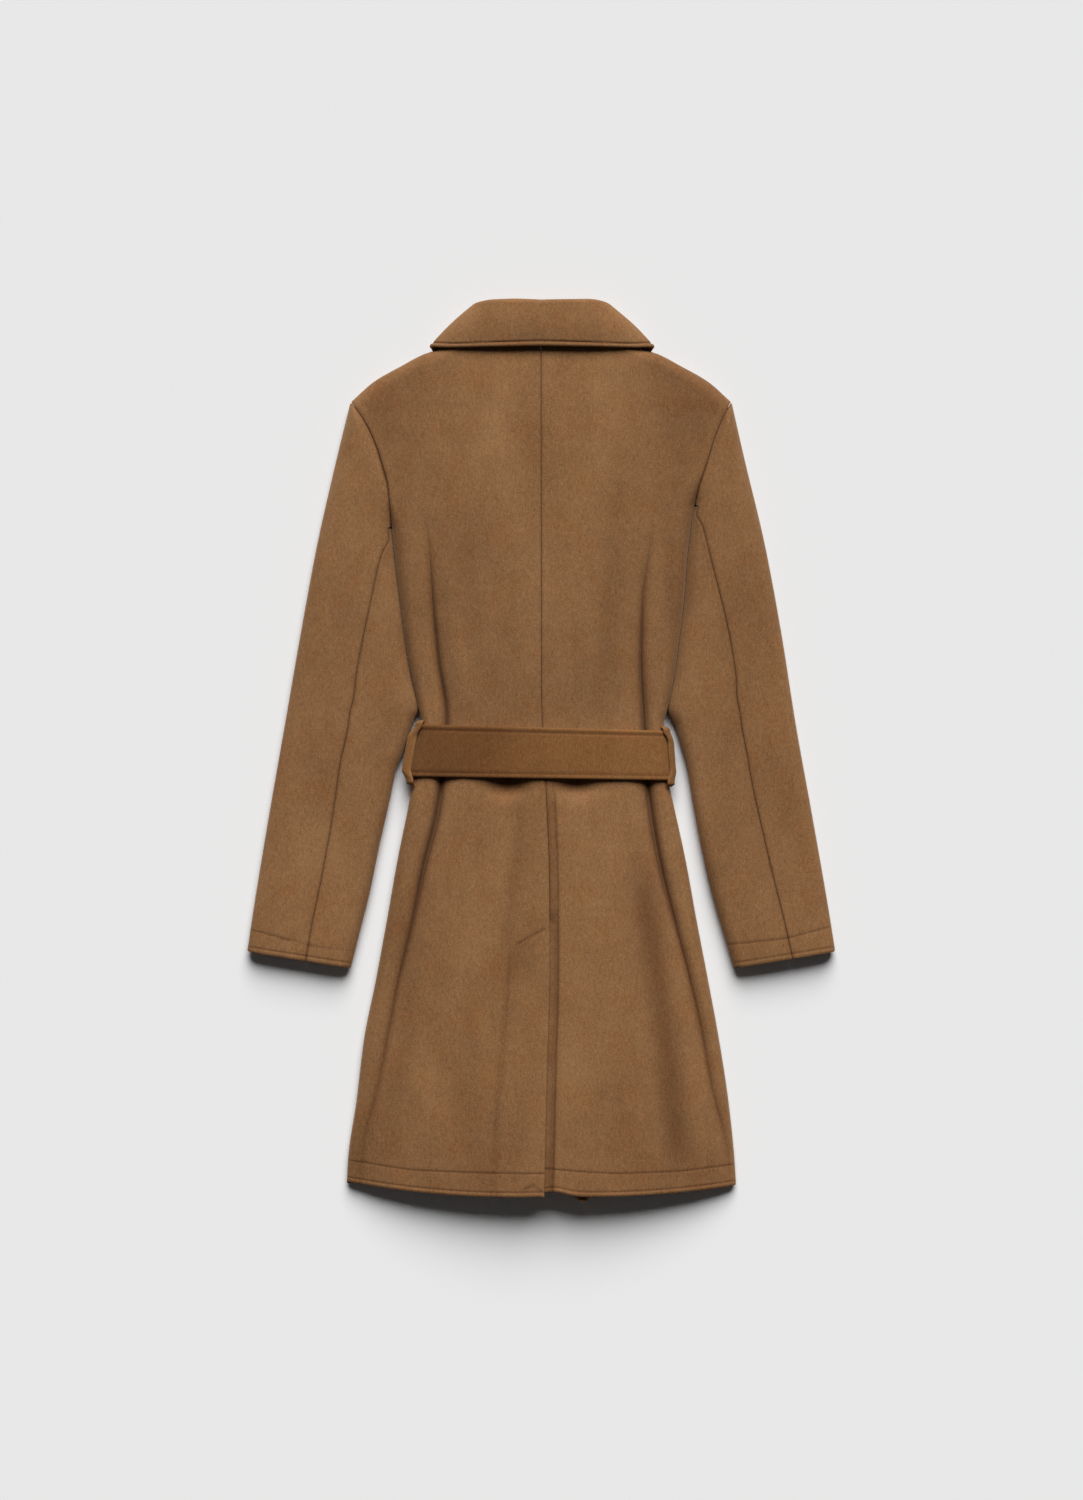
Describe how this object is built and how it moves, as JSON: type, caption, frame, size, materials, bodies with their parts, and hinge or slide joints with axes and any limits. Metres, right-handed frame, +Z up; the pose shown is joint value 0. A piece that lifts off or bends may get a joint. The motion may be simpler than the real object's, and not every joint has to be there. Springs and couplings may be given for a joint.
{
  "type": "belted wool coat",
  "caption": "Knee-length belted wool coat laid flat on its front, back up, with a fold-over collar, two-piece sleeves, belt and back vent.",
  "frame": {"origin": "on the surface the coat lies on, under the middle of its box", "axes": "+X across the coat to the right as seen from its back, +Y from hem to collar, +Z up out of the back"},
  "size_m": [0.6376, 0.9734, 0.04],
  "materials": {
    "coat_cloth": "camel double-faced wool with a short soft nap",
    "belt_cloth": "the same wool, doubled and stitched along its edges"
  },
  "bodies": {
    "root": {"back_left": "coat_cloth", "back_right": "coat_cloth", "front_left": "coat_cloth", "front_right": "coat_cloth", "sleeve_left_upper": "coat_cloth", "sleeve_left_under": "coat_cloth", "sleeve_right_upper": "coat_cloth", "sleeve_right_under": "coat_cloth", "collar": "coat_cloth", "belt": "belt_cloth", "belt_loop_left": "belt_cloth", "belt_loop_right": "belt_cloth"}
  },
  "joints": []
}
